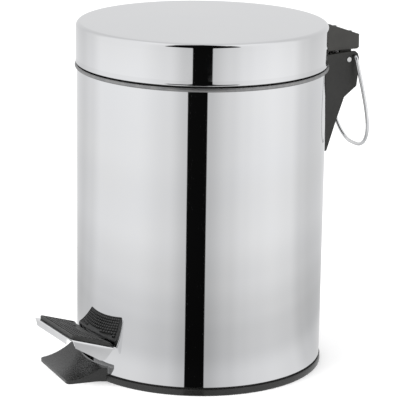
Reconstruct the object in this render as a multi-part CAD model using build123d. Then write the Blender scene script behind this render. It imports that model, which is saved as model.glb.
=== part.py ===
from build123d import *
from math import cos, radians, sin, sqrt, tan
import os

# Five-litre pedal bin. Millimetres, +Z up, the floor is Z = 0, the body axis is the Z axis.
# The pedal is on the -Y side and the lid hinge with its carry handle is on the +Y side.

# ---- body ----
BODY_R = 100.0
BODY_WALL = 0.8
BODY_BOTTOM = 6.8
RIM_Z = 244.95
RIM_R = 100.2
RIM_ROLL = 1.55
SLOT_HALF_WIDTH = 12.7
SLOT_LOW = 12.0
SLOT_HIGH = 32.0
ROD_SLOT_LOW = 194.0
ROD_SLOT_HIGH = 226.0
ROD_SLOT_HALF_WIDTH = 3.2

# ---- base moulding ----
BASE_R = 100.8
BASE_FLOOR = 2.5
UPSTAND_TOP = 16.0
UPSTAND_LOW = 8.5
UPSTAND_R = 98.9
UPSTAND_WALL = 2.4
TONGUE_YAW = -1.5
TONGUE_SHIFT = -3.0
TONGUE_REACH = 126.5
TONGUE_TIP_HALF = 31.5
TONGUE_ROOT_HALF = 36.0
TONGUE_TIP_Z = 2.6
TONGUE_ROOT_Z = 10.5
TONGUE_CORNER = 3.0

# ---- lid ----
LID_R = 100.8
LID_WALL = 0.8
LID_BOTTOM = 247.6
LID_TOP = 280.5
LID_FILLET = 3.6
HEM_HEIGHT = 1.2
HEM_PROUD = 0.3

# ---- hinge ----
PIVOT_Y = 124.0
PIVOT_Z = 243.5
PIN_R = 2.0
HOUSING_HALF = 20.0
CHEEK = 3.0
COVER_HALF = 16.5
COVER_WALL = 1.7
LUG_IN = 11.4
LUG_OUT = 14.0
LUG_R = 5.2
CRANK_R = 18.0
CRANK_ANGLE = 40.0
CRANK_IN = 2.5
CRANK_WALL = 1.5
CRANK_PIN_R = 1.5
BACK_WALL_TOP = 228.0
TIP_Y = PIVOT_Y - CRANK_R * cos(radians(CRANK_ANGLE))
TIP_Z = PIVOT_Z - CRANK_R * sin(radians(CRANK_ANGLE))
REAR_OUTLINE = [
    (133.3, 244.5), (133.0, 232.0), (131.8, 221.0), (120.5, 212.4), (112.8, 191.2), (105.3, 168.5),
]

# ---- screws of the housing and the cover ----
HOUSING_SCREWS = ((-11.0, 186.0), (11.0, 186.0), (-11.0, 238.0), (11.0, 238.0))
COVER_SCREW_X = (-8.5, 8.5)
COVER_SCREW_Z = 262.0
SCREW_R = 1.6
SCREW_HEAD_R = 3.0
BOSS_R = 4.2
BOSS_REAR = 103.8

# ---- carry handle ----
HANDLE_Y = 128.7
HANDLE_Z = 246.0
WIRE_R = 1.5
HANDLE_TILT = 10.0
HANDLE_DROP = 79.0
HANDLE_HALF = 29.0

# ---- pedal, lever and lift rod ----
AXLE_Y = -50.0
AXLE_Z = 16.0
AXLE_R = 2.5
EAR_IN = 14.0
EAR_OUT = 15.6
LEVER_HALF = 11.0
LEVER_SHEET = 1.6
LEVER_Z = 25.2
PLATE_GAP = 0.8
LEVER_END = 97.6
FORK_DEPTH = 7.0
ROD_Y = 95.5
ROD_R = 2.0
ROD_OUT_Y = 108.0
ROD_BOTTOM = 17.2
JOG_LOW = 194.0
EYE_LOW = TIP_Z - 6.0
PEDAL_SHIFT = 2.6
PEDAL_YAW = 0.5
PEDAL_TIP = 2.6
PEDAL_TIP_Z = 38.0
PEDAL_BACK_R = 101.7
PLATE = 1.0
PLATE_SIDE = 1.2
PLATE_FRONT = 4.4
PAD = 3.1
TREAD_TOP_OUT = 43.4
TREAD_TOP_IN = 33.1
TREAD_OUT_Y = -128.1
TREAD_IN_Y = -95.0
TREAD_HALF_OUT = 35.1
TREAD_HALF_IN = 35.7
TREAD_CORNER = 3.0
TREAD_SLOPE = (TREAD_TOP_OUT - TREAD_TOP_IN) / (TREAD_IN_Y - TREAD_OUT_Y)
LIP = 4.5
LIP_HALF = 31.0
FLANGE_EDGE = [(-127.0, 33.5), (-112.0, 24.5), (-105.5, 20.4), (-101.5, 20.8), (-95.0, 27.5)]
RIVET_Y = (-121.5, -110.5)
RIVET_R = 1.5
RIVET_HEAD_R = 2.9

# ---- inner bucket ----
BUCKET_FLOOR = 51.0
BUCKET_WALL = 1.6
BUCKET_R_LOW = 84.0
BUCKET_R_TOP = 94.0
FLANGE_R = 99.5
FLANGE_Z = 246.6
FLANGE_T = 1.5
BAIL_Z = 236.0
BAIL_R = 88.0

os.makedirs("parts", exist_ok=True)


def save(shape, name):
    export_step(shape, f"parts/{name}.step")


def cylinder_z(radius, low, high, x=0.0, y=0.0):
    return Pos(x, y, (low + high) / 2) * Cylinder(radius, high - low)


def cylinder_x(radius, x_low, x_high, y, z):
    return Pos((x_low + x_high) / 2, y, z) * Rot(0, 90, 0) * Cylinder(radius, x_high - x_low)


def cylinder_y(radius, y_low, y_high, x, z):
    return Pos(x, (y_low + y_high) / 2, z) * Rot(90, 0, 0) * Cylinder(radius, y_high - y_low)


def block(x_low, x_high, y_low, y_high, z_low, z_high):
    centre = Pos((x_low + x_high) / 2, (y_low + y_high) / 2, (z_low + z_high) / 2)
    return centre * Box(x_high - x_low, y_high - y_low, z_high - z_low)


def side_plate(points, x_low, x_high):
    """A flat plate between two X planes, whose outline is given as (y, z) points."""
    outline = Plane.YZ * make_face(Polyline(*points, close=True))
    return Pos(x_low, 0, 0) * extrude(outline, amount=x_high - x_low, dir=(1, 0, 0))


def turned(points):
    """A solid of revolution about the body axis from (radius, z) points."""
    return revolve(Plane.XZ * make_face(Polyline(*points, close=True)), Axis.Z)


# ---- body and base ----
def body_shell():
    inner = BODY_R - BODY_WALL
    tube = turned([(inner, BODY_BOTTOM), (BODY_R, BODY_BOTTOM), (BODY_R, RIM_Z), (inner, RIM_Z)])
    roll = Pos(0, 0, RIM_Z) * Torus(RIM_R, RIM_ROLL)
    front = block(-SLOT_HALF_WIDTH, SLOT_HALF_WIDTH, -BODY_R - 5, -BODY_R + 10, SLOT_LOW, SLOT_HIGH)
    rear = block(-ROD_SLOT_HALF_WIDTH, ROD_SLOT_HALF_WIDTH, 90, 104, ROD_SLOT_LOW, ROD_SLOT_HIGH)
    shell = tube + roll - front - rear
    for x, z in HOUSING_SCREWS:
        shell -= cylinder_y(SCREW_R + 0.05, 90, 106, x, z)
    return shell


def tongue():
    root_y = -sqrt(BODY_R ** 2 - TONGUE_ROOT_HALF ** 2) + 4
    plan = make_face(Polyline(
        (-TONGUE_ROOT_HALF, root_y),
        (-TONGUE_TIP_HALF, -TONGUE_REACH),
        (TONGUE_TIP_HALF, -TONGUE_REACH),
        (TONGUE_ROOT_HALF, root_y),
        close=True,
    ))
    slab = extrude(plan, amount=TONGUE_ROOT_Z + 2)
    tips = slab.edges().filter_by(Axis.Z).group_by(Axis.Y)[0]
    slab = fillet(tips, TONGUE_CORNER)
    top = [
        (-TONGUE_REACH - 5, TONGUE_TIP_Z - 1),
        (-TONGUE_REACH + 2, TONGUE_TIP_Z),
        (-BODY_R - 8, TONGUE_TIP_Z + 3.2),
        (-BODY_R + 12, TONGUE_ROOT_Z + 4.5),
        (-BODY_R + 12, 30),
        (-TONGUE_REACH - 5, 30),
    ]
    slab -= side_plate(top, -60, 60)
    slab = Rot(0, 0, TONGUE_YAW) * Pos(TONGUE_SHIFT, 0, 0) * slab
    return slab - cylinder_z(BODY_R + 0.15, BODY_BOTTOM, 40)


def base_moulding():
    floor = cylinder_z(BASE_R, 0, BASE_FLOOR)
    ring = turned([(96.5, 0), (BASE_R, 0), (BASE_R, BODY_BOTTOM - 0.1), (96.5, BODY_BOTTOM - 0.1)])
    low_r = UPSTAND_R - UPSTAND_WALL
    upstand = turned([(low_r, 0), (UPSTAND_R, 0), (UPSTAND_R, UPSTAND_TOP), (low_r, UPSTAND_TOP)])
    upstand -= block(-17, 17, -105, -90, UPSTAND_LOW, 40)
    return floor + ring + upstand + tongue()


# ---- pedal bearing ----
def pedal_bracket():
    foot = block(-20, 20, AXLE_Y - 9, AXLE_Y + 9, BASE_FLOOR, BASE_FLOOR + 1.6)
    ear = side_plate(
        [
            (AXLE_Y - 9, BASE_FLOOR), (AXLE_Y + 9, BASE_FLOOR),
            (AXLE_Y + 5.5, AXLE_Z + 5.5), (AXLE_Y - 5.5, AXLE_Z + 5.5),
        ],
        EAR_IN, EAR_OUT,
    )
    ears = ear + mirror(ear, Plane.YZ)
    bracket = foot + ears
    return bracket - cylinder_x(AXLE_R + 0.05, -20, 20, AXLE_Y, AXLE_Z)


def pedal_axle():
    return cylinder_x(AXLE_R, -19, 19, AXLE_Y, AXLE_Z)


def axle_clips():
    clips = []
    for x in (-17.4, 17.4):
        disc = cylinder_x(4.6, x - 0.5, x + 0.5, AXLE_Y, AXLE_Z)
        clips.append(disc - cylinder_x(AXLE_R + 0.02, x - 2, x + 2, AXLE_Y, AXLE_Z))
    return Compound(children=clips)


def bracket_rivets():
    rivets = []
    for x in (-17.9, 17.9):
        for y in (AXLE_Y - 6, AXLE_Y + 6):
            rivets.append(cylinder_z(1.6, BASE_FLOOR + 1.6, BASE_FLOOR + 2.6, x, y))
    return Compound(children=rivets)


# ---- pedal, drawn about its own middle before it is shifted and turned ----
def placed(shape):
    tipped = Pos(0, 0, PEDAL_TIP_Z) * Rot(0, -PEDAL_TIP, 0) * Pos(0, 0, -PEDAL_TIP_Z) * shape
    return Rot(0, 0, PEDAL_YAW) * Pos(PEDAL_SHIFT, 0, 0) * tipped


def tread_height(y):
    return TREAD_TOP_OUT - TREAD_SLOPE * (y - TREAD_OUT_Y)


def tread_slab(drop, thickness, y_out, y_in):
    """A sloping slab whose top is the given drop under the tread's top surface."""
    top_out = tread_height(y_out) - drop
    top_in = tread_height(y_in) - drop
    points = [(y_out, top_out), (y_in, top_in), (y_in, top_in - thickness), (y_out, top_out - thickness)]
    return side_plate(points, -45, 45)


def tread_plan(side, front):
    """An upright prism over the tread's plan, grown at its sides and at its outer edge."""
    plan = make_face(Polyline(
        (-TREAD_HALF_IN - side, TREAD_IN_Y + 12),
        (-TREAD_HALF_IN - side, TREAD_IN_Y),
        (-TREAD_HALF_OUT - side, TREAD_OUT_Y - front),
        (TREAD_HALF_OUT + side, TREAD_OUT_Y - front),
        (TREAD_HALF_IN + side, TREAD_IN_Y),
        (TREAD_HALF_IN + side, TREAD_IN_Y + 12),
        close=True,
    ))
    prism = extrude(plan, amount=80)
    corners = prism.edges().filter_by(Axis.Z).group_by(Axis.Y)[0]
    return fillet(corners, TREAD_CORNER)


def pedal_pad():
    slab = tread_slab(0, PAD, TREAD_OUT_Y - 5, TREAD_IN_Y + 8)
    return placed(slab & tread_plan(0, 0)) - cylinder_z(PEDAL_BACK_R, 0, 80)


def pedal_plate():
    """The tread's sheet, with a lip turned down at its outer edge and a deep flange at each side."""
    edge_y = TREAD_OUT_Y - PLATE_FRONT
    sheet = tread_slab(PAD, PLATE, edge_y - 5, TREAD_IN_Y + 8) & tread_plan(PLATE_SIDE, PLATE_FRONT)
    lip = tread_slab(PAD, LIP + PLATE, edge_y, edge_y + PLATE) & block(-LIP_HALF, LIP_HALF, -140, -120, 0, 60)
    outer = TREAD_HALF_IN + PLATE_SIDE - 0.1
    points = [(FLANGE_EDGE[0][0], 50)] + FLANGE_EDGE + [(TREAD_IN_Y + 6, 50)]
    flange = side_plate(points, outer - PLATE, outer)
    turn = 57.3 * (TREAD_HALF_IN - TREAD_HALF_OUT) / (TREAD_IN_Y - TREAD_OUT_Y)
    flange = Pos(outer, TREAD_IN_Y, 0) * Rot(0, 0, -turn) * Pos(-outer, -TREAD_IN_Y, 0) * flange
    flange -= tread_slab(-30, 30 + PAD + 0.5 * PLATE, -150, -60)
    plate = placed(sheet + lip + flange + mirror(flange, Plane.YZ))
    plate -= cylinder_z(PEDAL_BACK_R - 0.3, 0, 80)
    for rivet_hole in rivet_holes():
        plate -= rivet_hole
    return plate


def plate_under(y):
    """Height of the plate's underside on the centre line."""
    return tread_height(y) - PAD - PLATE - PEDAL_SHIFT * tan(radians(PEDAL_TIP))


def pedal_lever():
    """A channel from under the pedal plate to a fork round the lift rod, with deep ears round the axle."""
    neck = [(-88, LEVER_Z), (-106, plate_under(-106) - PLATE_GAP), (-126, plate_under(-126) - PLATE_GAP)]
    under = [(y, z - LEVER_SHEET) for y, z in neck[::-1]]
    web = side_plate(
        [(LEVER_END, LEVER_Z)] + neck + under + [(LEVER_END, LEVER_Z - LEVER_SHEET)],
        -LEVER_HALF, LEVER_HALF,
    )
    web -= block(-30, -6, 70, 110, 0, 60)
    web -= block(6, 30, 70, 110, 0, 60)
    inside_web = [(y, z - 0.5 * LEVER_SHEET) for y, z in neck]
    keel = [
        (-125.5, 34.9), (-103, 22.6), (-88, 18.5), (AXLE_Y - 9, 18.5), (AXLE_Y - 5, AXLE_Z - 5),
        (AXLE_Y + 5, AXLE_Z - 5), (AXLE_Y + 9, 18.5), (68, 20.5),
    ]
    inside_web[-1] = (-125.5, inside_web[-1][1])
    flange = side_plate(
        [(68, LEVER_Z - 0.5 * LEVER_SHEET)] + inside_web + keel,
        LEVER_HALF - LEVER_SHEET, LEVER_HALF - 0.1,
    )
    lever = web + flange + mirror(flange, Plane.YZ)
    lever -= cylinder_x(AXLE_R + 0.06, -20, 20, AXLE_Y, AXLE_Z)
    for rivet_hole in rivet_holes():
        lever -= rivet_hole
    return lever - block(-ROD_R - 0.7, ROD_R + 0.7, LEVER_END - FORK_DEPTH, LEVER_END + 5, 0, 60)


def pedal_rivets():
    """Two rivets that hold the plate on the lever, with their heads under the lever's web."""
    rivets = []
    for y in RIVET_Y:
        top = plate_under(y) + PLATE - 0.65
        low = plate_under(y) - PLATE_GAP - LEVER_SHEET - 1.3
        rivets.append(cylinder_z(RIVET_R, low, top, 0, y) + cylinder_z(RIVET_HEAD_R, low - 1.0, low, 0, y))
    return Compound(children=rivets)


def rivet_holes():
    return [cylinder_z(RIVET_R + 0.02, 0, 60, 0, y) for y in RIVET_Y]


# ---- lift rod ----
def lift_rod():
    jog = ROD_OUT_Y - ROD_Y
    path = FilletPolyline(
        (0, ROD_Y, ROD_BOTTOM),
        (0, ROD_Y, JOG_LOW),
        (0, ROD_OUT_Y, JOG_LOW + jog),
        (0, ROD_OUT_Y, EYE_LOW),
        radius=6,
    )
    section = Plane(origin=(0, ROD_Y, ROD_BOTTOM), z_dir=(0, 0, 1)) * Circle(ROD_R)
    return sweep(section, path=path)


def rod_eye():
    """A flat strip with a level slot, in which the crank pin rides."""
    near_y = PIVOT_Y - CRANK_R
    strip = block(-1.1, 1.1, near_y - 4.2, TIP_Y + 4.2, EYE_LOW + 0.02, TIP_Z + 4.6)
    slot_r = CRANK_PIN_R + 0.75
    slot = block(-3, 3, near_y, TIP_Y, TIP_Z - slot_r, TIP_Z + slot_r)
    slot += cylinder_x(slot_r, -3, 3, near_y, TIP_Z)
    slot += cylinder_x(slot_r, -3, 3, TIP_Y, TIP_Z)
    return strip - slot


def rod_collars():
    """The washer under the lever and the shoulder above it, which carry the lever's push."""
    collars = []
    for low, high in ((18.8, 21.0), (27.6, 30.2)):
        ring = cylinder_z(3.4, low, high, 0, ROD_Y)
        collars.append(ring - cylinder_z(ROD_R + 0.01, low - 1, high + 1, 0, ROD_Y))
    return Compound(children=collars)


def rod_guide():
    """A plastic clip inside the body's back wall, which keeps the rod upright."""
    clip = block(-8, 8, 90, 99.0, 118, 130) & cylinder_z(BODY_R - BODY_WALL - 0.02, 100, 140)
    clip -= block(-4.5, 4.5, 89, 92.0, 100, 140)
    return clip - cylinder_z(ROD_R + 0.35, 100, 140, 0, ROD_Y)


# ---- hinge housing on the body ----
def housing_profile(shrink=0.0):
    """The side outline from the body out to the rear edge, and back over the ear."""
    rear = [(y - shrink, z) for y, z in REAR_OUTLINE]
    ear = [(132.2 - shrink, 248.0), (130.0 - shrink, 249.9)]
    return [(90, 166.5)] + rear[::-1] + ear + [(120.9, 249.7), (90, 247.4)]


def hinge_housing():
    outer = side_plate(housing_profile(), -HOUSING_HALF, HOUSING_HALF)
    inner = side_plate(housing_profile(2.4), CHEEK - HOUSING_HALF, HOUSING_HALF - CHEEK)
    inner += block(CHEEK - HOUSING_HALF, HOUSING_HALF - CHEEK, 90, 140, BACK_WALL_TOP, 260)
    casing = outer - (inner - block(-30, 30, 60, 140, 100, 170.5))
    for x, z in HOUSING_SCREWS:
        casing += cylinder_y(BOSS_R, 90, BOSS_REAR, x, z)
        wall_x = (HOUSING_HALF - CHEEK + 1) * x / abs(x)
        casing += block(min(x, wall_x), max(x, wall_x), 90, BOSS_REAR, z - 2, z + 2)
    rim_groove = turned([(90, 241), (RIM_R + RIM_ROLL + 0.3, 241), (RIM_R + RIM_ROLL + 0.3, 252), (90, 252)])
    casing -= cylinder_z(BODY_R + 0.02, 100, 260)
    casing -= rim_groove
    for x, z in HOUSING_SCREWS:
        casing -= cylinder_y(SCREW_R + 0.02, 80, 110, x, z)
    casing -= cylinder_x(PIN_R + 0.03, -30, 30, PIVOT_Y, PIVOT_Z)
    casing -= cylinder_x(WIRE_R + 0.08, -30, 30, HANDLE_Y, HANDLE_Z)
    return casing


def housing_screws():
    screws = []
    for x, z in HOUSING_SCREWS:
        wall_y = sqrt((BODY_R - BODY_WALL) ** 2 - x ** 2)
        shank = cylinder_y(SCREW_R, wall_y - 1.2, 103.6, x, z)
        head = cylinder_y(SCREW_HEAD_R, wall_y - 2.6, wall_y - 0.75, x, z)
        screws.append(shank + head)
    return Compound(children=screws)


def hinge_pin():
    return cylinder_x(PIN_R, -HOUSING_HALF - 0.6, HOUSING_HALF + 0.6, PIVOT_Y, PIVOT_Z)


# ---- lid ----
def lid_shell():
    inner = LID_R - LID_WALL
    lid = cylinder_z(LID_R, LID_BOTTOM, LID_TOP)
    lid = fillet(lid.edges().group_by(Axis.Z)[-1], LID_FILLET)
    core = cylinder_z(inner, LID_BOTTOM - 1, LID_TOP - LID_WALL)
    core = fillet(core.edges().group_by(Axis.Z)[-1], LID_FILLET - LID_WALL)
    hem_r = LID_R + HEM_PROUD
    hem_top = LID_BOTTOM + HEM_HEIGHT
    hem = turned([(inner, LID_BOTTOM), (hem_r, LID_BOTTOM), (hem_r, hem_top), (inner, hem_top)])
    lid = lid - core + hem
    for x in COVER_SCREW_X:
        lid -= cylinder_y(SCREW_R + 0.05, 90, 106, x, COVER_SCREW_Z)
    return lid


def cover_profile(shrink=0.0):
    return [
        (90, 251.0), (133.4 - shrink, 251.3), (135.0 - shrink, 252.6), (134.8 - shrink, 263.4 - shrink),
        (90, 278.6 - shrink),
    ]


def hinge_cover():
    outer = side_plate(cover_profile(), -COVER_HALF, COVER_HALF)
    inner = side_plate(cover_profile(COVER_WALL), COVER_WALL - COVER_HALF, COVER_HALF - COVER_WALL)
    inner -= block(-40, 40, 60, 105.0, 240, 300)
    inner += block(COVER_WALL - COVER_HALF, COVER_HALF - COVER_WALL, 105, 133.3, 245, 253)
    cover = outer - inner
    lug = cylinder_x(LUG_R, LUG_IN, LUG_OUT, PIVOT_Y, PIVOT_Z)
    lug += block(LUG_IN, LUG_OUT, PIVOT_Y - LUG_R, PIVOT_Y + LUG_R, PIVOT_Z, 266)
    lug += block(LUG_OUT - 0.5, COVER_HALF - 0.5, PIVOT_Y - LUG_R, PIVOT_Y + LUG_R, 254, 264)
    cover += lug + mirror(lug, Plane.YZ)
    cover -= cylinder_z(LID_R + HEM_PROUD + 0.02, 200, 300)
    cover -= block(-5.2, 5.2, 90, 112, 245, 271)
    cover -= cylinder_x(PIN_R + 0.06, -20, 20, PIVOT_Y, PIVOT_Z)
    for x in COVER_SCREW_X:
        cover -= cylinder_y(SCREW_R + 0.02, 90, 110, x, COVER_SCREW_Z)
    return cover


def cover_screws():
    screws = []
    for x in COVER_SCREW_X:
        wall_y = sqrt((LID_R - LID_WALL) ** 2 - x ** 2)
        shank = cylinder_y(SCREW_R, wall_y - 1.2, 104.6, x, COVER_SCREW_Z)
        head = cylinder_y(SCREW_HEAD_R, wall_y - 2.6, wall_y - 0.75, x, COVER_SCREW_Z)
        screws.append(shank + head)
    return Compound(children=screws)


def crank_bracket():
    """Two steel arms from the lid to the pivot and on to the crank pin, joined by a back strap."""
    arm = side_plate(
        [
            (101.4, 268.0), (101.4, 252.0), (105.6, 246.5), (106.6, 232.0), (108.4, 228.6), (112.0, 228.6),
            (115.0, 232.0), (127.0, 238.8), (128.8, 243.5), (127.0, 248.2), (114.0, 262.0), (106.0, 268.0),
        ],
        CRANK_IN, CRANK_IN + CRANK_WALL,
    )
    strap = block(-CRANK_IN - CRANK_WALL, CRANK_IN + CRANK_WALL, 101.3, 102.9, 254, 268)
    bracket = arm + mirror(arm, Plane.YZ) + strap
    bracket -= cylinder_x(PIN_R + 0.06, -20, 20, PIVOT_Y, PIVOT_Z)
    return bracket - cylinder_x(CRANK_PIN_R + 0.01, -20, 20, TIP_Y, TIP_Z)


def crank_pin():
    reach = CRANK_IN + CRANK_WALL + 0.6
    return cylinder_x(CRANK_PIN_R, -reach, reach, TIP_Y, TIP_Z)


# ---- carry handle ----
def carry_handle():
    """A sprung wire loop, drawn hanging straight down and then tipped back about its ends."""
    end_x = HOUSING_HALF - CHEEK + 0.15
    half = [
        (end_x, 0), (HOUSING_HALF + 3.2, 0), (26.5, -22.0), (HANDLE_HALF, -44.0), (27.6, -60.0),
        (17.0, -73.5),
    ]
    route = half + [(0, -HANDLE_DROP)] + [(-x, z) for x, z in half[::-1]]
    points = [(x, HANDLE_Y, HANDLE_Z + z) for x, z in route]
    radii = [2.9, 30, 22, 12, 14, 30, 14, 12, 22, 30, 2.9]
    path = FilletPolyline(*points, radius=radii)
    section = Plane(origin=points[0], z_dir=(1, 0, 0)) * Circle(WIRE_R)
    loop = sweep(section, path=path)
    return Pos(0, HANDLE_Y, HANDLE_Z) * Rot(HANDLE_TILT, 0, 0) * Pos(0, -HANDLE_Y, -HANDLE_Z) * loop


# ---- inner bucket ----
def bucket_radius(z):
    return BUCKET_R_LOW + (BUCKET_R_TOP - BUCKET_R_LOW) * (z - BUCKET_FLOOR) / (FLANGE_Z - BUCKET_FLOOR)


def inner_bucket():
    top = FLANGE_Z + FLANGE_T
    floor_top = BUCKET_FLOOR + BUCKET_WALL + 0.4
    bucket = turned([
        (0, BUCKET_FLOOR), (BUCKET_R_LOW, BUCKET_FLOOR), (BUCKET_R_TOP, FLANGE_Z), (FLANGE_R, FLANGE_Z),
        (FLANGE_R, top), (BUCKET_R_TOP - BUCKET_WALL, top),
        (BUCKET_R_LOW - BUCKET_WALL, floor_top), (0, floor_top),
    ])
    return bucket - cylinder_x(WIRE_R + 0.08, -110, 110, 0, BAIL_Z)


def bucket_bail():
    end_x = bucket_radius(BAIL_Z) + 1.2
    corner = 16.0
    half = [(end_x, 0.0), (BAIL_R - 1.5, 0.0), (BAIL_R - 4, -corner)]
    steps = 5
    for i in range(1, steps + 1):
        angle = radians(90 * i / (steps + 1))
        half.append(((BAIL_R - 3) * cos(angle), -(BAIL_R - 3) * sin(angle) - 3.0))
    route = half + [(0, -BAIL_R)] + [(-x, y) for x, y in half[::-1]]
    points = [(x, y, BAIL_Z) for x, y in route]
    radii = [2.6, 40] + [40] * (len(points) - 6) + [40, 2.6]
    path = FilletPolyline(*points, radius=radii)
    section = Plane(origin=points[0], z_dir=(1, 0, 0)) * Circle(WIRE_R)
    return sweep(section, path=path)


NODES = (
    body_shell, base_moulding, pedal_bracket, pedal_axle, axle_clips, bracket_rivets,
    pedal_pad, pedal_plate, pedal_lever, pedal_rivets, lift_rod, rod_eye, rod_collars, rod_guide,
    hinge_housing, housing_screws, hinge_pin, lid_shell, hinge_cover, cover_screws, crank_bracket,
    crank_pin, carry_handle, inner_bucket, bucket_bail,
)

for node in NODES:
    save(node(), node.__name__)
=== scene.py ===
import math

import bmesh
import bpy
import numpy as np
from mathutils import Matrix, Vector


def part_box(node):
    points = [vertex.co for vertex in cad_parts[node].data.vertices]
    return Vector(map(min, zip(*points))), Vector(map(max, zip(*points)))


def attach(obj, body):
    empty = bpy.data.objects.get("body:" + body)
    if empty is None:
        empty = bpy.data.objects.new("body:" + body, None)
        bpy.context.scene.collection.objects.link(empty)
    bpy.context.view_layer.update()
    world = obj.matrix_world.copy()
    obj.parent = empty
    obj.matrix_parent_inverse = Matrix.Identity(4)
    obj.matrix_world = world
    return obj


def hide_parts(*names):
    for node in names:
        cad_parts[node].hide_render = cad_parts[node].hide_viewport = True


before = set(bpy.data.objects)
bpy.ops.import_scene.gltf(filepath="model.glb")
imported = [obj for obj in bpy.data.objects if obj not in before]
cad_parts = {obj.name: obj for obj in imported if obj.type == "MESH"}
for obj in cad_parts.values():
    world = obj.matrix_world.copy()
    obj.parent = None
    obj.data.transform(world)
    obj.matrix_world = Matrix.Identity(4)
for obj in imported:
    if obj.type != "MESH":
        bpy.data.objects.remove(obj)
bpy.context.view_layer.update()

# A five-litre pedal bin in polished steel. Shapes are worked out in millimetres in the frame of the
# CAD model (the floor is Z = 0, the body axis is the Z axis, the pedal is at -Y and the hinge at +Y)
# and are turned into metres when a mesh is made.
MM = 0.001


def box_mm(node):
    low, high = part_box(node)
    return low / MM, high / MM


# ---------------------------------------------------------------- driving sizes, from the frame
BODY_LOW, BODY_HIGH = box_mm("body_shell")
LID_LOW, LID_HIGH = box_mm("lid_shell")
BUCKET_LOW, BUCKET_HIGH = box_mm("inner_bucket")
BASE_R = box_mm("base_moulding")[1].x

SHEET = 0.8
RIM_ROLL = 1.55
RIM_OFFSET = 0.2
RIM_R = BODY_HIGH.x - RIM_ROLL
BODY_R = RIM_R - RIM_OFFSET
RIM_Z = BODY_HIGH.z - RIM_ROLL
BODY_BOTTOM = BODY_LOW.z
HEM_PROUD = 0.3
HEM_HEIGHT = 1.2
LID_R = LID_HIGH.x - HEM_PROUD
LID_BOTTOM = LID_LOW.z
LID_TOP = LID_HIGH.z
LID_FILLET = 3.6

LEVER_SLOT_CENTRE, LEVER_SLOT_SIZE = (0, -100, 22), (25.4, 12, 20)
ROD_SLOT_CENTRE, ROD_SLOT_SIZE = (0, 100, 210), (6.4, 12, 32)
LEVER_PATH_HALF = 18.0
LEVER_PATH_Z = 8.5
WIRE_R = 1.5
HANDLE_Y, HANDLE_Z = 128.7, 246.0
HANDLE_TILT_DEG = 10.0

# the tongue and the pedal stand a little turned and to one side, and the pedal is tipped on its lever
TONGUE_YAW_DEG, TONGUE_SHIFT = -1.5, -3.0
PEDAL_YAW_DEG, PEDAL_SHIFT = 0.5, 2.6
PEDAL_TIP_DEG, PEDAL_TIP_Z = -2.6, 38


def turned_about(axis, degrees):
    return Matrix.Rotation(math.radians(degrees), 4, axis)


TONGUE_PLACE = turned_about("Z", TONGUE_YAW_DEG) @ Matrix.Translation((TONGUE_SHIFT, 0, 0))
PEDAL_PLAN = turned_about("Z", PEDAL_YAW_DEG) @ Matrix.Translation((PEDAL_SHIFT, 0, 0))
PEDAL_TIP = Matrix.Translation((0, 0, PEDAL_TIP_Z)) @ turned_about("Y", PEDAL_TIP_DEG)
PEDAL_PLACE = PEDAL_PLAN @ PEDAL_TIP @ Matrix.Translation((0, 0, -PEDAL_TIP_Z))


# ---------------------------------------------------------------- mesh helpers
def mesh_object(name, points, faces, sharp_deg=30.0):
    """A mesh piece from points in millimetres. Edges sharper than the angle stay hard."""
    mesh = bpy.data.meshes.new(name)
    mesh.from_pydata([Vector(p) * MM for p in points], [], faces)
    made = bmesh.new()
    made.from_mesh(mesh)
    bmesh.ops.remove_doubles(made, verts=made.verts, dist=1e-7)
    bmesh.ops.recalc_face_normals(made, faces=made.faces)
    made.to_mesh(mesh)
    made.free()
    return finish_mesh(name, mesh, sharp_deg)


def finish_mesh(name, mesh, sharp_deg=30.0):
    mesh.polygons.foreach_set("use_smooth", [True] * len(mesh.polygons))
    mesh.set_sharp_from_angle(angle=math.radians(sharp_deg))
    made = bpy.data.objects.new(name, mesh)
    bpy.context.scene.collection.objects.link(made)
    return made


def bevelled(piece, width, segments=3, limit_deg=35.0):
    """Rounds the hard edges of a piece, width in millimetres, and applies the rounding."""
    piece.data.polygons.foreach_set("use_smooth", [True] * len(piece.data.polygons))
    rounding = piece.modifiers.new("rounding", "BEVEL")
    rounding.width = width * MM
    rounding.segments = segments
    rounding.limit_method = "ANGLE"
    rounding.angle_limit = math.radians(limit_deg)
    rounding.harden_normals = True
    return applied(piece)


def applied(piece):
    """Replaces the piece's mesh by the result of its modifiers."""
    bpy.context.view_layer.update()
    graph = bpy.context.evaluated_depsgraph_get()
    result = bpy.data.meshes.new_from_object(piece.evaluated_get(graph))
    piece.modifiers.clear()
    piece.data = result
    return piece


def arc(centre, radius, start_deg, end_deg, steps):
    """Points on an arc in a two-axis plane, both ends included."""
    points = []
    for i in range(steps + 1):
        angle = math.radians(start_deg + (end_deg - start_deg) * i / steps)
        points.append((centre[0] + radius * math.cos(angle), centre[1] + radius * math.sin(angle)))
    return points


def line(start, end, steps):
    """Points along a straight line, the start left out and the end included."""
    start, end = np.array(start, float), np.array(end, float)
    return [tuple(start + (end - start) * i / steps) for i in range(1, steps + 1)]


def turned(profile, steps=256, closed=True):
    """Points and faces of a profile of (radius, z) turned about the Z axis."""
    points = []
    faces = []
    count = len(profile)
    for i in range(steps):
        angle = 2 * math.pi * i / steps
        for radius, z in profile:
            points.append((radius * math.sin(angle), -radius * math.cos(angle), z))
    rows = count if closed else count - 1
    for i in range(steps):
        follower = (i + 1) % steps
        for j in range(rows):
            k = (j + 1) % count
            faces.append((i * count + j, follower * count + j, follower * count + k, i * count + k))
    return points, faces


def dressed(piece, material, body, slot, *nodes):
    """Gives a piece its material and its body, and hides the CAD nodes it stands for. Its slot argument is
    not used.
    """
    piece.data.materials.clear()
    piece.data.materials.append(material)
    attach(piece, body)
    if nodes:
        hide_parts(*nodes)
    return piece


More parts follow.
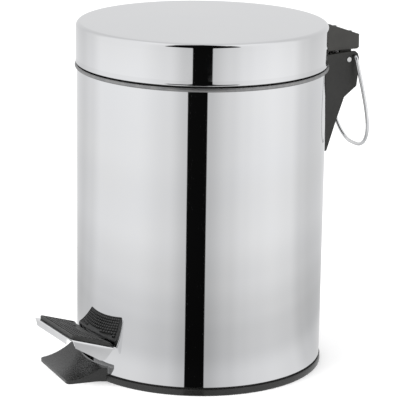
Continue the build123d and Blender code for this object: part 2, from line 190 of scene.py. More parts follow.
# ---------------------------------------------------------------- material helpers
class Shader:
    """A node material under construction, with one principled shader."""

    def __init__(self, name):
        self.material = bpy.data.materials.new(name)
        self.material.use_nodes = True
        self.nodes = self.material.node_tree.nodes
        self.links = self.material.node_tree.links
        self.shader = self.nodes["Principled BSDF"]
        self.place = self.nodes.new("ShaderNodeTexCoord").outputs["Object"]

    def set(self, **values):
        for key, value in values.items():
            self.shader.inputs[key.replace("_", " ")].default_value = value
        return self

    def stretched(self, x, y, z):
        mapping = self.nodes.new("ShaderNodeMapping")
        mapping.inputs["Scale"].default_value = (x, y, z)
        self.links.new(self.place, mapping.inputs["Vector"])
        return mapping.outputs["Vector"]

    def noise(self, scale, detail=3.0, rough=0.5, place=None):
        node = self.nodes.new("ShaderNodeTexNoise")
        node.inputs["Scale"].default_value = scale
        node.inputs["Detail"].default_value = detail
        node.inputs["Roughness"].default_value = rough
        self.links.new(place or self.place, node.inputs["Vector"])
        return node.outputs["Fac"]

    def ranged(self, value, low, high, from_low=0.3, from_high=0.7):
        node = self.nodes.new("ShaderNodeMapRange")
        node.inputs["From Min"].default_value = from_low
        node.inputs["From Max"].default_value = from_high
        node.inputs["To Min"].default_value = low
        node.inputs["To Max"].default_value = high
        self.links.new(value, node.inputs["Value"])
        return node.outputs["Result"]

    def mixed(self, factor, first, second):
        node = self.nodes.new("ShaderNodeMix")
        node.data_type = "RGBA"
        node.inputs[6].default_value = (*first, 1)
        node.inputs[7].default_value = (*second, 1)
        self.links.new(factor, node.inputs["Factor"])
        return node.outputs[2]

    def colour(self, value):
        self.links.new(value, self.shader.inputs["Base Color"])
        return self

    def roughness(self, value):
        self.links.new(value, self.shader.inputs["Roughness"])
        return self

    def bump(self, height, distance_mm, strength=1.0):
        node = self.nodes.new("ShaderNodeBump")
        node.inputs["Distance"].default_value = distance_mm * MM
        node.inputs["Strength"].default_value = strength
        self.links.new(height, node.inputs["Height"])
        held = self.shader.inputs["Normal"]
        if held.is_linked:
            self.links.new(held.links[0].from_socket, node.inputs["Normal"])
        self.links.new(node.outputs["Normal"], held)
        return self


def polished_steel(name, shade, dents_mm):
    """Mirror-polished sheet: faint smears, hair-fine upright drawing lines and very shallow dents."""
    look = Shader(name).set(Metallic=1.0)
    smear = look.noise(14.0, 4.0, 0.6)
    warm = tuple(c * shade for c in (1.0, 1.0, 1.0))
    cool = tuple(c * shade for c in (0.975, 0.98, 0.995))
    look.colour(look.mixed(look.ranged(smear, 0.0, 1.0), warm, cool))
    look.roughness(look.ranged(look.noise(60.0, 5.0, 0.65), 0.018, 0.04))
    drawn = look.noise(900.0, 2.0, 0.5, look.stretched(1.0, 1.0, 0.004))
    look.bump(drawn, 0.0006)
    look.bump(look.noise(22.0, 1.0, 0.4), dents_mm)
    return look.material


def chrome(name, shade, low=0.04, high=0.1):
    look = Shader(name).set(Metallic=1.0)
    pale = tuple(c * shade for c in (1.0, 1.0, 1.0))
    grey = tuple(c * shade for c in (0.94, 0.945, 0.955))
    look.colour(look.mixed(look.ranged(look.noise(90.0, 4.0), 0.0, 1.0), pale, grey))
    look.roughness(look.ranged(look.noise(320.0, 4.0, 0.6), low, high))
    look.bump(look.noise(160.0, 2.0), 0.004)
    return look.material


def dull_steel(name, shade, low, high):
    """Rolled, pressed or zinc-plated steel with fine grain and a soft sheen."""
    look = Shader(name).set(Metallic=1.0)
    pale = tuple(c * shade for c in (1.0, 0.99, 0.97))
    dark = tuple(c * shade * 0.8 for c in (0.97, 0.98, 1.0))
    look.colour(look.mixed(look.ranged(look.noise(180.0, 5.0, 0.6), 0.0, 1.0), pale, dark))
    look.roughness(look.ranged(look.noise(420.0, 4.0, 0.6), low, high))
    look.bump(look.noise(1500.0, 2.0, 0.5, look.stretched(0.15, 1.0, 1.0)), 0.01)
    return look.material


def moulded_plastic(name, shade, low, high, grain_mm):
    """Injection-moulded black plastic: spark-eroded grain, faint flow marks and slight wear."""
    look = Shader(name).set(IOR=1.48)
    deep = tuple(shade)
    worn = tuple(c * 1.5 + 0.002 for c in shade)
    flow = look.noise(35.0, 3.0, 0.5)
    look.colour(look.mixed(look.ranged(flow, 0.0, 1.0), deep, worn))
    look.roughness(look.ranged(look.noise(260.0, 5.0, 0.6), low, high))
    look.bump(look.noise(1700.0, 3.0, 0.6), grain_mm)
    look.bump(look.noise(40.0, 2.0, 0.5), 0.02)
    return look.material


def moulded_rubber(name):
    look = Shader(name).set(IOR=1.46)
    deep = (0.014, 0.014, 0.0132)
    dusty = (0.030, 0.030, 0.0285)
    look.colour(look.mixed(look.ranged(look.noise(70.0, 6.0, 0.65), 0.0, 1.0), deep, dusty))
    look.roughness(look.ranged(look.noise(500.0, 4.0, 0.6), 0.30, 0.46))
    look.bump(look.noise(2400.0, 2.0, 0.5), 0.02)
    return look.material


STEEL_BODY = polished_steel("polished_steel_body", 0.70, 0.010)
STEEL_LID = polished_steel("polished_steel_lid", 0.71, 0.016)
# the rim steel is rougher than the body steel, and its base colour, about half the body's, is painted shade
# standing for the dark surroundings the rolled rim reflects
RIM_STEEL_PAINTED_SHADE = dull_steel("rolled_rim_steel_painted_shade", 0.34, 0.34, 0.46)
ZINC = dull_steel("zinc_plated_steel", 0.62, 0.22, 0.36)
CHROME_PEDAL = chrome("chromed_pedal_steel", 0.86)
CHROME_WIRE = chrome("chromed_wire", 0.78, 0.06, 0.14)
BLACK_BASE = moulded_plastic("black_base_plastic", (0.012, 0.012, 0.0116), 0.22, 0.32, 0.008)
BLACK_HOUSING = moulded_plastic("black_housing_plastic", (0.012, 0.0117, 0.0103), 0.42, 0.54, 0.02)
BLACK_HINGE = moulded_plastic("black_hinge_plastic", (0.030, 0.029, 0.026), 0.40, 0.52, 0.02)
BLACK_BUCKET = moulded_plastic("black_bucket_plastic", (0.022, 0.022, 0.022), 0.36, 0.48, 0.016)
RUBBER = moulded_rubber("black_pad_rubber")


# ---------------------------------------------------------------- body
def body_piece():
    """The steel cylinder with its rolled rim, and the slots for the lever and the lift rod."""
    inner = BODY_R - SHEET
    join = RIM_Z - 1.35
    outside = [(BODY_R, BODY_BOTTOM + 0.15)]
    outside += line((BODY_R, BODY_BOTTOM + 0.15), (BODY_R, join - 0.4), 24)
    roll = arc((RIM_R, RIM_Z), RIM_ROLL, -82, 180, 28)
    inside = line((inner, RIM_Z), (inner, BODY_BOTTOM + 0.15), 12)
    profile = outside + roll + inside + [(inner + 0.15, BODY_BOTTOM), (BODY_R - 0.15, BODY_BOTTOM)]
    points, faces = turned(profile, 384)
    piece = mesh_object("body_steel", points, faces, 40.0)
    slots = bpy.data.meshes.new("slot_cutters")
    made = bmesh.new()
    for centre, size in ((LEVER_SLOT_CENTRE, LEVER_SLOT_SIZE), (ROD_SLOT_CENTRE, ROD_SLOT_SIZE)):
        place = Matrix.Translation(Vector(centre) * MM) @ Matrix.Diagonal((*(Vector(size) * MM), 1))
        bmesh.ops.create_cube(made, size=1.0, matrix=place)
    made.to_mesh(slots)
    made.free()
    cutter = bpy.data.objects.new("slot_cutters", slots)
    bpy.context.scene.collection.objects.link(cutter)
    cut = piece.modifiers.new("slots", "BOOLEAN")
    cut.operation = "DIFFERENCE"
    cut.object = cutter
    applied(piece)
    bpy.data.objects.remove(cutter)
    piece.data.polygons.foreach_set("use_smooth", [True] * len(piece.data.polygons))
    piece.data.set_sharp_from_angle(angle=math.radians(40))
    dressed(piece, STEEL_BODY, "bin", "steel_body", "body_shell")
    # the rolled rim and the top of the inside wall take the darker rim steel, whose darker colour is painted
    # shade
    piece.data.materials.append(RIM_STEEL_PAINTED_SHADE)
    for face in piece.data.polygons:
        centre = face.center / MM
        if centre.z > join - 0.3 and math.hypot(centre.x, centre.y) > BODY_R - SHEET - 0.5:
            face.material_index = 1
    return piece


def base_piece():
    """The black ring that closes the body, with a shadow groove under the steel."""
    groove_r = BODY_R - 1.2
    shoulder = BODY_BOTTOM - 1.45
    profile = [(BASE_R - 6.0, 0.9), (BASE_R - 1.2, 0.0)]
    profile += arc((BASE_R - 0.8, 0.8), 0.8, -90, 0, 5)
    profile += arc((BASE_R - 0.6, shoulder - 0.6), 0.6, 0, 90, 5)
    profile += [(groove_r, shoulder), (groove_r, BODY_BOTTOM - 0.1), (99.0 - 0.1, BODY_BOTTOM - 0.1)]
    profile += [(98.9, 16.0), (96.5, 16.0), (96.5, 2.5), (0.5, 2.5), (0.5, 0.9)]
    points, faces = turned(profile, 256)
    # the wall inside the body is cut down where the pedal's lever passes over it
    for i, (x, y, z) in enumerate(points):
        if abs(x) < LEVER_PATH_HALF and y < 0:
            points[i] = (x, y, min(z, LEVER_PATH_Z))
    piece = mesh_object("base_ring", points, faces, 35.0)
    return dressed(piece, BLACK_BASE, "bin", "plastic_base", "base_moulding")


def tongue_piece():
    """The tongue that reaches out under the pedal. Its top rises in a hollow curve to the body."""
    reach = 126.5
    tip_half, root_half, flare = 31.5, 34.0, 2.2
    tip_top, rise, highest = 2.6, 0.0112, 11.5
    rows, columns = 30, 24
    corner = 3.0
    root = -91.5
    points, faces = [], []

    def half_at(s):
        full = tip_half + (root_half - tip_half) * s / 30.0
        if s < corner:
            full -= corner - math.sqrt(max(corner ** 2 - (corner - s) ** 2, 0.0))
        if s > 22.0:
            full += flare * ((s - 22.0) / 10.0) ** 2
        return full

    stations = [corner * (1 - math.cos(math.radians(90 * i / 8))) for i in range(9)]
    stations += [corner + (reach + root - corner) * i / rows for i in range(1, rows + 1)]
    for s in stations:
        half = half_at(s)
        for j in range(columns + 1):
            x = half * (2 * j / columns - 1)
            points.append((x, -reach + s, min(tip_top + rise * s * s, highest)))
    width = columns + 1
    for i in range(len(stations) - 1):
        for j in range(columns):
            faces.append((i * width + j, i * width + j + 1, (i + 1) * width + j + 1, (i + 1) * width + j))
    outline = [i * width for i in range(len(stations))][::-1]
    outline += list(range(width))
    outline += [i * width + columns for i in range(1, len(stations))]
    outline = [n for i, n in enumerate(outline) if i == 0 or n != outline[i - 1]]
    first_low = len(points)
    for n in outline:
        x, y, z = points[n]
        points.append((x, y, 0.0))
    for i in range(len(outline) - 1):
        faces.append((outline[i], outline[i + 1], first_low + i + 1, first_low + i))
    faces.append((outline[-1], outline[0], first_low, first_low + len(outline) - 1))
    faces.append(tuple(range(first_low, first_low + len(outline))))
    points = [TONGUE_PLACE @ Vector(p) for p in points]
    piece = mesh_object("base_tongue", points, faces, 30.0)
    bevelled(piece, 0.7, 4, 40.0)
    return dressed(piece, BLACK_BASE, "bin", "plastic_base")


# ---------------------------------------------------------------- lid
def lid_piece():
    """The pressed cap: nearly flat top, rounded edge, side wall and rolled hem."""
    inner = LID_R - SHEET
    crown = 0.35
    hem_r = LID_R + HEM_PROUD
    profile = [(0.0, LID_TOP), (30.0, LID_TOP - 0.03)]
    profile += line((30.0, LID_TOP - 0.03), (LID_R - LID_FILLET, LID_TOP - crown), 8)
    edge = arc((LID_R - LID_FILLET, LID_TOP - crown - LID_FILLET), LID_FILLET, 90, 0, 16)
    profile += edge[1:]
    profile += line(edge[-1], (LID_R, LID_BOTTOM + HEM_HEIGHT + 0.35), 10)
    profile += arc((hem_r - 0.75, LID_BOTTOM + 0.75), 0.75, 40, -90, 8)
    profile += [(inner + 0.2, LID_BOTTOM), (inner - 0.1, LID_BOTTOM + 0.3), (inner - 0.1, LID_BOTTOM + 1.6)]
    profile += line((inner, LID_BOTTOM + 1.9), (inner, LID_TOP - crown - LID_FILLET), 8)
    inner_edge = arc((LID_R - LID_FILLET, LID_TOP - crown - LID_FILLET), LID_FILLET - SHEET, 0, 90, 12)
    profile += inner_edge[1:]
    profile += line(inner_edge[-1], (0.0, LID_TOP - SHEET), 6)
    points, faces = turned(profile, 384, closed=False)
    piece = mesh_object("lid_steel", points, faces, 50.0)
    return dressed(piece, STEEL_LID, "lid", "steel_lid", "lid_shell")


# ---------------------------------------------------------------- hinge housing and cover
def from_cad(node, name, rounding, material, body, slot):
    """A rounded copy of a CAD node: its flat faces joined, its edges softened."""
    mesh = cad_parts[node].data.copy()
    made = bmesh.new()
    made.from_mesh(mesh)
    bmesh.ops.remove_doubles(made, verts=made.verts, dist=2e-6)
    bmesh.ops.dissolve_limit(
        made, angle_limit=math.radians(1.0), verts=made.verts, edges=made.edges, delimit={"NORMAL"}
    )
    made.to_mesh(mesh)
    made.free()
    mesh.name = name
    for attribute in [a.name for a in mesh.attributes if a.name in ("custom_normal", "sharp_edge")]:
        mesh.attributes.remove(mesh.attributes[attribute])
    piece = finish_mesh(name, mesh, 30.0)
    bevelled(piece, rounding, 3, 35.0)
    return dressed(piece, material, body, slot, node)


# ---------------------------------------------------------------- wires
def wire_piece(name, route, radius, material, body, slot, node):
    """A round wire along a smooth curve through its control points, in millimetres."""
    curve = bpy.data.curves.new(name, "CURVE")
    curve.dimensions = "3D"
    curve.bevel_depth = radius * MM
    curve.bevel_resolution = 7
    curve.use_fill_caps = True
    curve.resolution_u = 16
    spline = curve.splines.new("NURBS")
    spline.points.add(len(route) - 1)
    for point, place in zip(spline.points, route):
        point.co = (*(Vector(place) * MM), 1.0)
    spline.order_u = 3
    spline.use_endpoint_u = True
    made = bpy.data.objects.new(name, curve)
    bpy.context.scene.collection.objects.link(made)
    bpy.context.view_layer.update()
    mesh = bpy.data.meshes.new_from_object(made.evaluated_get(bpy.context.evaluated_depsgraph_get()))
    bpy.data.objects.remove(made)
    mesh.name = name
    piece = finish_mesh(name, mesh, 50.0)
    return dressed(piece, material, body, slot, node)


def carry_handle_piece():
    tilt = math.radians(HANDLE_TILT_DEG)
    half = [(17.15, 0.0), (21.0, 0.0), (23.6, -1.2), (24.6, -10.0), (27.0, -24.0), (29.3, -44.0)]
    half += [(28.2, -60.0), (21.5, -72.0), (11.0, -79.0)]
    route = half + [(0.0, -79.6)] + [(-x, z) for x, z in half[::-1]]
    placed = []
    for x, drop in route:
        placed.append((x, HANDLE_Y - drop * math.sin(tilt), HANDLE_Z + drop * math.cos(tilt)))
    wire_piece("carry_wire", placed, WIRE_R, CHROME_WIRE, "handle", "wire", "carry_handle")


def bail_piece():
    low, high = box_mm("bucket_bail")
    bail_r, z = -low.y - WIRE_R, (low.z + high.z) / 2
    reach = high.x
    half = [(reach, 0.0), (bail_r - 0.5, 0.0), (bail_r - 2.0, -1.5), (bail_r - 2.6, -14.0)]
    for i in range(1, 7):
        angle = math.radians(10 + 80 * i / 7)
        half.append(((bail_r - 1.5) * math.cos(angle), -(bail_r - 0.5) * math.sin(angle) - 1.0))
    route = half + [(0.0, -bail_r - 0.6)] + [(-x, y) for x, y in half[::-1]]
    placed = [(x, y, z) for x, y in route]
    wire_piece("bail_wire", placed, WIRE_R, CHROME_WIRE, "bail", "wire", "bucket_bail")


# ---------------------------------------------------------------- inner bucket
def bucket_piece():
    floor, top = BUCKET_LOW.z, BUCKET_HIGH.z
    flange_r = BUCKET_HIGH.x
    r_low, r_top, wall, flange_t = 84.0, 94.0, 1.6, 1.5
    profile = [(0.0, floor + 1.2), (60.0, floor + 1.2), (62.0, floor)]
    profile += arc((r_low - 3.0, floor + 3.0), 3.0, -90, 0, 8)
    profile += line((r_low, floor + 3.0), (r_top, top - flange_t - 1.0), 16)
    profile += [(r_top + 0.4, top - flange_t), (flange_r - 0.4, top - flange_t)]
    profile += arc((flange_r - flange_t / 2, top - flange_t / 2), flange_t / 2, -90, 90, 8)
    profile += [(r_top - wall + 1.4, top), (r_top - wall + 0.4, top - 0.4), (r_top - wall, top - 1.4)]
    profile += line((r_top - wall, top - 1.4), (r_low - wall, floor + 5.0), 16)
    profile += arc((r_low - wall - 3.0, floor + 2.0 + 3.0), 3.0, 0, -90, 8)[1:]
    profile += [(62.0, floor + 2.0), (60.0, floor + 3.2), (0.0, floor + 3.2)]
    points, faces = turned(profile, 192, closed=False)
    piece = mesh_object("bucket_shell", points, faces, 40.0)
    return dressed(piece, BLACK_BUCKET, "bucket", "plastic_bucket", "inner_bucket")


# ---------------------------------------------------------------- pedal
PAD = 3.1
PLATE = 1.0
PAD_BACK_R = 101.7
TREAD_OUT_Y = -128.1
TREAD_OUT_Z = 43.4
TREAD_IN_Y = -95.0
TREAD_SLOPE = 10.3 / 33.1
TREAD_HALF_OUT = 35.1
TREAD_HALF_IN = 35.7
LIP_DEPTH = 5.5
FLANGE_Y = (-127.9, -127.0, -112.0, -106.6, -104.8, -102.2, -100.6, -95.0)
FLANGE_Z = (38.2, 33.5, 24.5, 21.0, 20.4, 20.4, 21.4, 28.0)


def tread_z(y):
    """Height of the tread's upper surface."""
    return TREAD_OUT_Z - TREAD_SLOPE * (y - TREAD_OUT_Y)


def tread_half(y):
    share = (y - TREAD_OUT_Y) / (TREAD_IN_Y - TREAD_OUT_Y)
    return TREAD_HALF_OUT + (TREAD_HALF_IN - TREAD_HALF_OUT) * share


def side_end(sign, grown, back_r):
    """Where a side of the tread meets the circle its inner edge is cut to, as a y."""
    near, far = -80.0, -125.0
    for _ in range(40):
        y = (near + far) / 2
        place = PEDAL_PLAN @ Vector((sign * (tread_half(y) + grown), y, 0))
        if math.hypot(place.x, place.y) > back_r:
            far = y
        else:
            near = y
    return y


def tread_outline(grown, front, back_r, outer_corner, inner_corner):
    """The tread's plan as points going round it, with its corners rounded off."""
    out_y = TREAD_OUT_Y - front

    def on_side(sign, y):
        return Vector((sign * (tread_half(y) + grown), y))

    ends = [on_side(sign, side_end(sign, grown, back_r)) for sign in (1, -1)]
    tips = [on_side(sign, out_y) for sign in (1, -1)]
    to_pedal = PEDAL_PLAN.inverted()
    angles = []
    for end in ends:
        place = PEDAL_PLAN @ Vector((end.x, end.y, 0))
        angles.append(math.atan2(place.x, -place.y))

    def on_back(t):
        angle = angles[1] + (angles[0] - angles[1]) * t
        place = to_pedal @ Vector((back_r * math.sin(angle), -back_r * math.cos(angle), 0))
        return Vector((place.x, place.y))

    back = [on_back(i / 64) for i in range(65)]
    edges = [
        [ends[0] + (tips[0] - ends[0]) * i / 48 for i in range(49)],
        [tips[0] + (tips[1] - tips[0]) * i / 64 for i in range(65)],
        [tips[1] + (ends[1] - tips[1]) * i / 48 for i in range(49)],
        back,
    ]
    cuts = (outer_corner, outer_corner, inner_corner, inner_corner)
    outline = []
    for n, edge in enumerate(edges):
        after = edges[(n + 1) % 4]
        corner = edge[-1]
        before_cut, after_cut = cuts[n - 1], cuts[n]
        outline += [p for p in edge if (p - edge[0]).length > before_cut and (p - corner).length > after_cut]
        start = min(edge, key=lambda p: abs((p - corner).length - after_cut))
        end = min(after, key=lambda p: abs((p - corner).length - after_cut))
        for i in range(11):
            t = i / 10
            point = start * (1 - t) ** 2 + corner * 2 * t * (1 - t) + end * t * t
            if (point - outline[-1]).length > 0.05:
                outline.append(point)
    return outline


def outline_normals(outline):
    """Unit vectors that point out of an outline, one for each of its points."""
    middle = Vector((0.0, -112.0))
    normals = []
    for i, point in enumerate(outline):
        along = outline[(i + 1) % len(outline)] - outline[i - 1]
        normal = Vector((along.y, -along.x)).normalized()
        normals.append(normal)
    turn = 1.0 if normals[0].dot(outline[0] - middle) > 0 else -1.0
    return [normal * turn for normal in normals]


def ringed(outline, normals, sections):
    """Points and faces of a closed slab: each outline point carries a list of (inset, height) pairs
    over the tread's plane, the first and the last ring being closed with one flat face each."""
    points, faces = [], []
    width = len(sections[0])
    for point, normal, section in zip(outline, normals, sections):
        for inset, height in section:
            place = point - normal * inset
            points.append((place.x, place.y, tread_z(place.y) + height))
    count = len(outline)
    for i in range(count):
        j = (i + 1) % count
        for k in range(width - 1):
            faces.append((i * width + k, i * width + k + 1, j * width + k + 1, j * width + k))
    faces.append(tuple(i * width for i in range(count)))
    faces.append(tuple(i * width + width - 1 for i in range(count)))
    return points, faces


def pad_slab():
    """The rubber pad with a rounded, raised border round a slightly sunk field."""
    outline = tread_outline(0.0, 0.0, PAD_BACK_R, 3.4, 3.2)
    section = [(0.5, -PAD), (0.0, -PAD + 0.3), (0.0, -1.1)]
    section += [(1.1 - 1.1 * math.cos(a), -1.1 + 1.1 * math.sin(a)) for a in (0.35, 0.7, 1.05, 1.4)]
    section += [(1.35, 0.0), (1.65, -0.08), (1.9, -0.35), (2.05, -0.62), (2.25, -0.7)]
    points, faces = ringed(outline, outline_normals(outline), [section] * len(outline))
    slab = mesh_object("pad_slab", [PEDAL_PLACE @ Vector(p) for p in points], faces, 50.0)
    return dressed(slab, RUBBER, "pedal", "rubber_pad", "pedal_pad")


def pad_studs():
    """Rows of square studs, which stop short of the pad's inner edge."""
    pitch, columns, rows = 3.5, 18, 7
    first_y = TREAD_OUT_Y + 4.5
    rings = ((1.32, -0.72), (1.28, -0.2), (1.16, -0.02), (0.98, 0.06))
    points, faces = [], []
    for row in range(rows):
        for column in range(columns):
            x, y = (column - (columns - 1) / 2) * pitch, first_y + row * pitch
            place = PEDAL_PLAN @ Vector((x, y, 0))
            if math.hypot(place.x, place.y) < PAD_BACK_R + 5.2:
                continue
            start = len(points)
            for half, height in rings:
                for a, b in ((-1, -1), (1, -1), (1, 1), (-1, 1)):
                    v = y + b * half
                    points.append((x + a * half, v, tread_z(v) + height))
            for ring in range(len(rings) - 1):
                for k in range(4):
                    low, n = start + ring * 4, (k + 1) % 4
                    faces.append((low + k, low + n, low + 4 + n, low + 4 + k))
            faces.append(tuple(start + 4 * (len(rings) - 1) + k for k in range(4)))
            faces.append(tuple(start + k for k in (3, 2, 1, 0)))
    studs = mesh_object("pad_studs", [PEDAL_PLACE @ Vector(p) for p in points], faces, 25.0)
    return dressed(studs, RUBBER, "pedal", "rubber_pad")


def skirt_depth(point, half, back_y):
    """How deep the plate's sheet is turned down at a place on its outline."""
    x, y = abs(point.x), point.y
    lip_end = half - 5.4
    if y < TREAD_OUT_Y - 3.5 and x < lip_end:
        share = min(1.0, (lip_end - x) / 2.2)
        return PLATE + (LIP_DEPTH - PLATE) * math.sqrt(1 - (1 - share) ** 2)
    if x > half - 0.6 and FLANGE_Y[0] < y < back_y:
        low = float(np.interp(y, FLANGE_Y, FLANGE_Z))
        return max(PLATE, tread_z(y) - PAD - low)
    return PLATE


def plate_piece():
    """The chromed plate under the pad, with a turned-down lip and a deep flange at each side."""
    grown, front, back_r = 1.2, 4.4, PAD_BACK_R - 0.3
    outline = tread_outline(grown, front, back_r, 4.0, 0.9)
    half = TREAD_HALF_OUT + grown
    sections = []
    for point in outline:
        sign = 1 if point.x > 0 else -1
        depth = skirt_depth(point, half, side_end(sign, grown, back_r) - 0.4)
        bend = (0.0, 0.4, 0.8, 1.2)
        section = [(PLATE * (1 - math.sin(a)), -PAD - PLATE * (1 - math.cos(a))) for a in bend]
        section += [(0.0, -PAD - PLATE - (depth - PLATE) * k / 6) for k in range(7)]
        section += [(PLATE, -PAD - depth), (PLATE, -PAD - PLATE)]
        sections.append(section)
    points, faces = ringed(outline, outline_normals(outline), sections)
    piece = mesh_object("pedal_chrome", [PEDAL_PLACE @ Vector(p) for p in points], faces, 50.0)
    return dressed(piece, CHROME_PEDAL, "pedal", "chrome_pedal", "pedal_plate")


# ---------------------------------------------------------------- building
body_piece()
base_piece()
tongue_piece()
lid_piece()
from_cad("hinge_housing", "housing_shell", 0.5, BLACK_HOUSING, "bin", "plastic_hinge")
from_cad("hinge_cover", "cover_shell", 0.6, BLACK_HINGE, "lid", "plastic_hinge")
carry_handle_piece()
bail_piece()
bucket_piece()
pad_slab()
pad_studs()
plate_piece()

KEPT_LOOKS = {
    "pedal_bracket": ZINC, "pedal_axle": ZINC, "axle_clips": ZINC, "bracket_rivets": ZINC,
    "pedal_lever": ZINC, "pedal_rivets": ZINC, "lift_rod": ZINC, "rod_eye": ZINC,
    "rod_collars": ZINC, "rod_guide": BLACK_BUCKET, "housing_screws": ZINC, "hinge_pin": ZINC,
    "cover_screws": ZINC, "crank_bracket": ZINC, "crank_pin": ZINC,
}
for node, look in KEPT_LOOKS.items():
    for slot_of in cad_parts[node].material_slots:
        slot_of.material = look


# ---------------------------------------------------------------- camera
AZIMUTH = math.radians(64.0)
TO_CAMERA = Vector((math.sin(AZIMUTH), -math.cos(AZIMUTH), 0.0))
CAMERA_RIGHT = Vector((math.cos(AZIMUTH), math.sin(AZIMUTH), 0.0))
CAMERA_DISTANCE = 1.6459
CAMERA_HEIGHT = 0.572
CAMERA_PITCH = 0.26094
CAMERA_ROLL = 0.01434
LENS_MM = 188.27

camera_data = bpy.data.cameras.new("camera")
camera_data.sensor_width = 36.0
camera_data.lens = LENS_MM
camera = bpy.data.objects.new("camera", camera_data)
bpy.context.scene.collection.objects.link(camera)
camera.location = TO_CAMERA * CAMERA_DISTANCE + Vector((0, 0, CAMERA_HEIGHT))
turn = Matrix.Rotation(AZIMUTH, 3, "Z") @ Matrix.Rotation(math.pi / 2 - CAMERA_PITCH, 3, "X")
camera.rotation_euler = (turn @ Matrix.Rotation(CAMERA_ROLL, 3, "Z")).to_euler()
bpy.context.scene.camera = camera


# ---------------------------------------------------------------- studio
# the dark slit in the light tent, as degrees round the body from the camera's direction
SLIT_MIDDLE_DEG = -3.25
SLIT_HALF_DEG = 8.85
SLIT_WIDENING_DEG = 26.0
SLIT_WALL_SHIFT_DEG = 4.0
SLIT_EDGE_DEG = 0.35
SLIT_LIGHT = 0.006
SQUARE_ON = 0.80
TENT_CENTRE_FORWARD = 0.05


def stage_floor():
    made = bmesh.new()
    bmesh.ops.create_grid(made, x_segments=8, y_segments=8, size=12.0)
    mesh = bpy.data.meshes.new("studio_floor")
    made.to_mesh(mesh)
    made.free()
    floor = bpy.data.objects.new("studio_floor", mesh)
    bpy.context.scene.collection.objects.link(floor)
    look = Shader("studio_floor_paint").set(Roughness=0.9)
    look.set(Emission_Color=(1, 1, 1, 1), Emission_Strength=0.14)
    look.colour(look.mixed(look.noise(3.0), (0.93, 0.93, 0.93), (0.95, 0.95, 0.95)))
    floor.data.materials.append(look.material)
    floor.visible_glossy = False


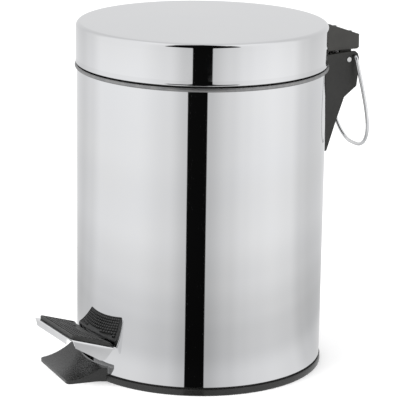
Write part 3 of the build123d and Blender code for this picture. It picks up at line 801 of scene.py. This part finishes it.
def stage_tent():
    """A closed white light tent that only reflections see: a floor sheet, side walls and a roof, with a
    dark slit on the camera's side."""
    profile = [(20.0, 0.4)] + line((20.0, 0.4), (2300.0, 0.4), 24)
    profile += arc((2300.0, 500.4), 500.0, -90, 0, 10)[1:]
    profile += line((2800.0, 500.4), (2800.0, 1400.0), 6)
    profile += arc((2000.0, 1400.0), 800.0, 0, 90, 10)[1:]
    profile += line((2000.0, 2200.0), (0.0, 2200.0), 8)
    points, faces = turned(profile, 96, closed=False)
    tent = mesh_object("studio_tent", points, faces, 80.0)
    material = bpy.data.materials.new("studio_tent_light")
    material.use_nodes = True
    nodes, links = material.node_tree.nodes, material.node_tree.links
    nodes.clear()
    geometry = nodes.new("ShaderNodeNewGeometry")
    place, arriving = geometry.outputs["Position"], geometry.outputs["Incoming"]

    def maths(operation, *inputs):
        node = nodes.new("ShaderNodeMath")
        node.operation = operation
        for socket, value in zip(node.inputs, inputs):
            if isinstance(value, (int, float)):
                socket.default_value = value
            else:
                links.new(value, socket)
        return node.outputs[0]

    def along(direction, vector=place):
        node = nodes.new("ShaderNodeVectorMath")
        node.operation = "DOT_PRODUCT"
        links.new(vector, node.inputs[0])
        node.inputs[1].default_value = direction
        return node.outputs["Value"]

    def curve(value, low, high, stops):
        """A smooth function of a value between low and high, from stops of (value, height)."""
        share = nodes.new("ShaderNodeMapRange")
        share.inputs["From Min"].default_value = low
        share.inputs["From Max"].default_value = high
        links.new(value, share.inputs["Value"])
        ramp = nodes.new("ShaderNodeValToRGB")
        ramp.color_ramp.interpolation = "EASE"
        while len(ramp.color_ramp.elements) < len(stops):
            ramp.color_ramp.elements.new(0.5)
        for element, (at, height) in zip(ramp.color_ramp.elements, stops):
            element.position = (at - low) / (high - low)
            element.color = (height, height, height, 1)
        links.new(share.outputs["Result"], ramp.inputs["Fac"])
        return ramp.outputs["Color"]

    forward, right, up = along(TO_CAMERA), along(CAMERA_RIGHT), along((0, 0, 1))
    radius = maths("SQRT", maths("ADD", maths("MULTIPLY", forward, forward), maths("MULTIPLY", right, right)))
    # the direction in which a ray leaves the body wall, taken from a point inside the body
    angle = maths("ARCTAN2", right, maths("SUBTRACT", forward, TENT_CENTRE_FORWARD))
    degrees = maths("MULTIPLY", angle, 180 / math.pi)
    around = curve(degrees, -180.0, 180.0, (
        (-180.0, 0.84), (-159.0, 0.82), (-135.0, 0.80), (-118.0, 0.90), (-101.0, 1.05), (-60.0, 1.08),
        (-30.0, 0.96), (-13.0, 0.76), (6.0, 0.68), (27.0, 0.89), (40.0, 1.00), (52.0, 1.06), (68.0, 1.10),
        (88.0, 1.05), (104.0, 0.87), (117.0, 0.81), (135.0, 0.82), (160.0, 0.85), (180.0, 0.84),
    ))
    spread = curve(radius, 0.0, 1.6, (
        (0.0, 0.88), (0.14, 0.90), (0.2, 0.77), (0.25, 0.77), (0.3, 0.82), (0.4, 0.91), (0.55, 1.0),
        (0.7, 0.99), (0.88, 1.03), (1.3, 1.05), (1.6, 1.0),
    ))
    shift = curve(radius, 1.0, 1.6, ((1.0, 0.0), (1.28, 0.0), (1.31, 1.0), (1.6, 1.0)))
    slit_angle = maths("SUBTRACT", degrees, maths("MULTIPLY", shift, SLIT_WALL_SHIFT_DEG))
    overhead = curve(up, 0.0, 2.3, ((0.0, 0.0), (0.5, 0.0), (1.2, 1.0), (2.3, 1.0)))
    slit_half = maths("ADD", SLIT_HALF_DEG, maths("MULTIPLY", overhead, SLIT_WIDENING_DEG))
    off_middle = maths("ABSOLUTE", maths("SUBTRACT", slit_angle, SLIT_MIDDLE_DEG))
    beyond = maths("SUBTRACT", off_middle, slit_half)
    # near the floor only what faces the slit squarely sees it, not the pedal's side flanges
    turned_away = maths("MAXIMUM", maths("ADD", along(TO_CAMERA, arriving), SQUARE_ON), 0.0)
    aside = maths("MULTIPLY", turned_away, 300.0)
    beyond = maths("ADD", beyond, maths("MULTIPLY", aside, maths("SUBTRACT", 1.0, overhead)))
    lit = nodes.new("ShaderNodeMapRange")
    lit.interpolation_type = "SMOOTHSTEP"
    lit.inputs["From Min"].default_value = -SLIT_EDGE_DEG
    lit.inputs["From Max"].default_value = SLIT_EDGE_DEG
    lit.inputs["To Min"].default_value = SLIT_LIGHT
    lit.inputs["To Max"].default_value = 1.0
    links.new(beyond, lit.inputs["Value"])
    strength = maths("MULTIPLY", maths("MULTIPLY", around, spread), lit.outputs["Result"])
    light = nodes.new("ShaderNodeEmission")
    light.inputs["Color"].default_value = (0.985, 0.99, 1.0, 1)
    links.new(strength, light.inputs["Strength"])
    output = nodes.new("ShaderNodeOutputMaterial")
    links.new(light.outputs["Emission"], output.inputs["Surface"])
    material.cycles.emission_sampling = "NONE"
    tent.data.materials.append(material)
    tent.visible_camera = False
    tent.visible_diffuse = False
    tent.visible_transmission = False
    tent.visible_volume_scatter = False
    tent.visible_shadow = False


def soft_light(name, direction, distance, size, power):
    data = bpy.data.lights.new(name, "AREA")
    data.shape = "DISK"
    data.size = size
    data.energy = power
    lamp = bpy.data.objects.new(name, data)
    bpy.context.scene.collection.objects.link(lamp)
    aim = Vector((0, 0, 0.12))
    lamp.location = aim + Vector(direction).normalized() * distance
    lamp.rotation_euler = (lamp.location - aim).to_track_quat("Z", "Y").to_euler()
    lamp.visible_glossy = False
    lamp.visible_camera = False


def studio_world():
    world = bpy.data.worlds.new("studio_world")
    world.use_nodes = True
    back = world.node_tree.nodes["Background"]
    back.inputs["Color"].default_value = (1.0, 1.0, 1.0, 1)
    back.inputs["Strength"].default_value = 1.0
    bpy.context.scene.world = world


stage_floor()
stage_tent()
studio_world()
soft_light("key_light", TO_CAMERA * 0.5 - CAMERA_RIGHT * 0.9 + Vector((0, 0, 1.3)), 2.2, 1.6, 26.0)
soft_light("fill_light", TO_CAMERA * 0.4 + CAMERA_RIGHT + Vector((0, 0, 0.9)), 2.4, 1.8, 10.0)
bpy.context.scene.view_settings.view_transform = "Standard"
